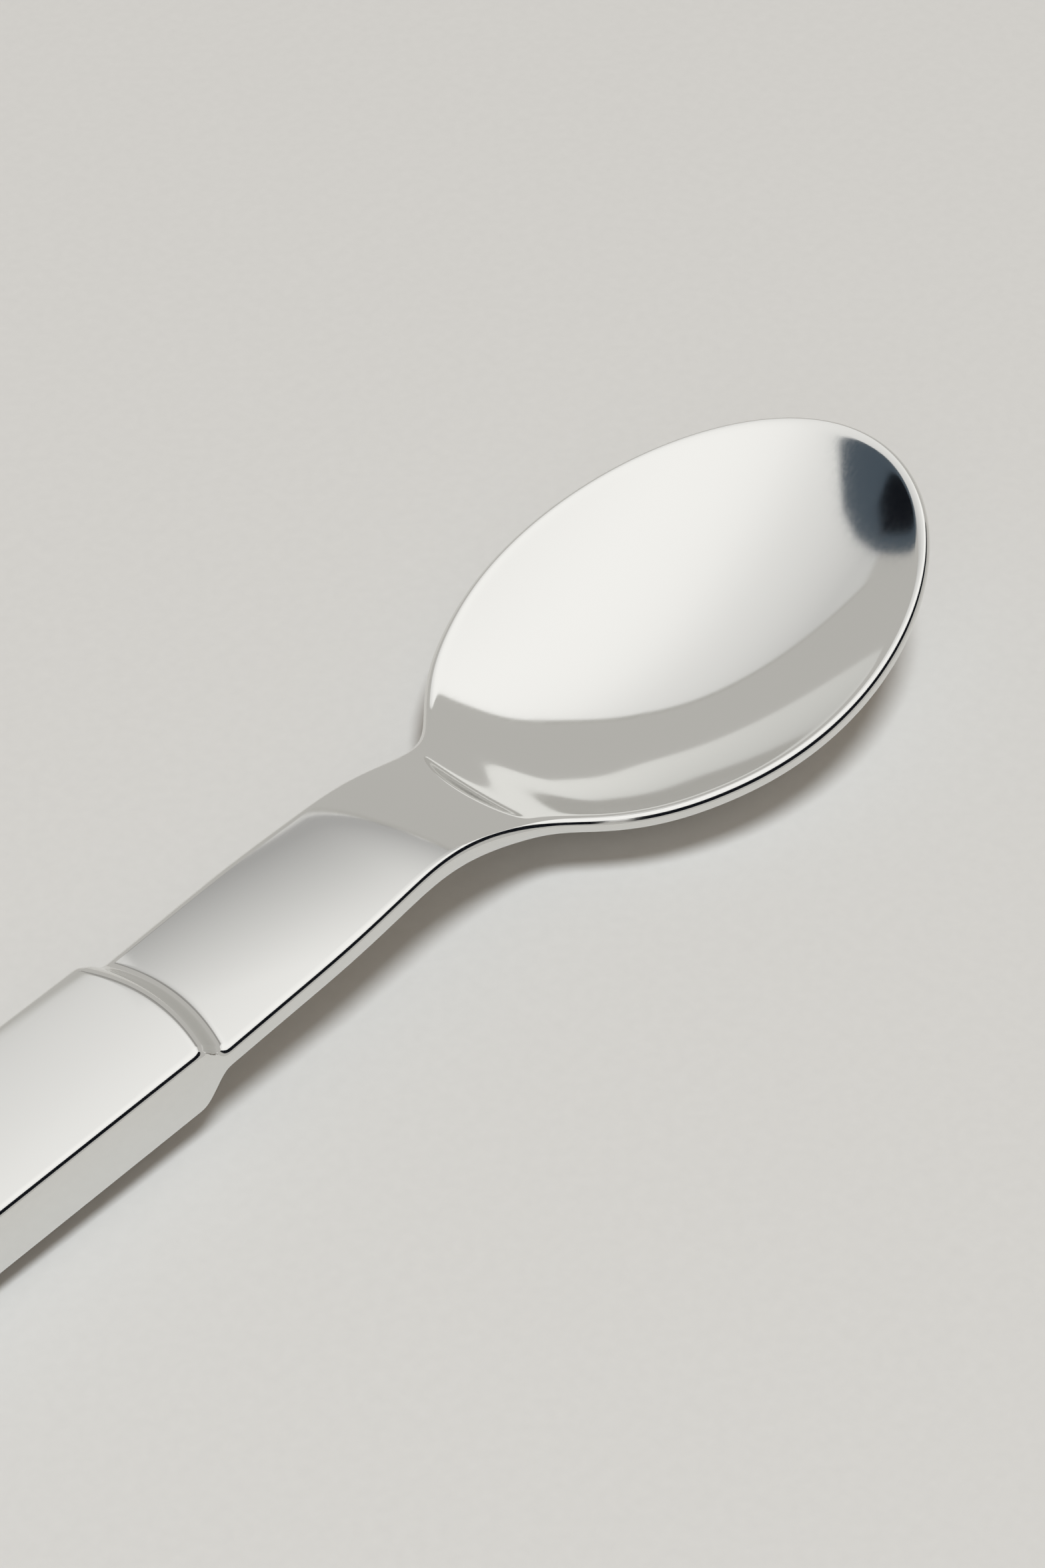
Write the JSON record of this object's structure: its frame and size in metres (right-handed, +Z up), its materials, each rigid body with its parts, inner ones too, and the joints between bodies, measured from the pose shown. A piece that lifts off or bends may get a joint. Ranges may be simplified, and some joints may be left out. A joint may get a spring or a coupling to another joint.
{
  "type": "dessert spoon",
  "caption": "Polished steel dessert spoon: oval bowl, flat neck stepping up to a thick square hollow handle, for eating desserts or small servings.",
  "frame": {"origin": "on the table, under the middle of the spoon's length, as it lies at rest on its bowl and its handle's end", "axes": "+X along the spoon towards the bowl's tip, +Y to the left side, +Z up from the table"},
  "size_m": [0.1848, 0.04, 0.0155],
  "materials": {
    "polished_steel": "mirror-polished stainless steel with fine polishing marks",
    "cement": "dull set cement, hidden inside the handle"
  },
  "bodies": {
    "root": {"bowl_and_neck": "polished_steel", "handle_upper_shell": "polished_steel", "handle_lower_shell": "polished_steel", "handle_filler": "cement"}
  },
  "joints": []
}
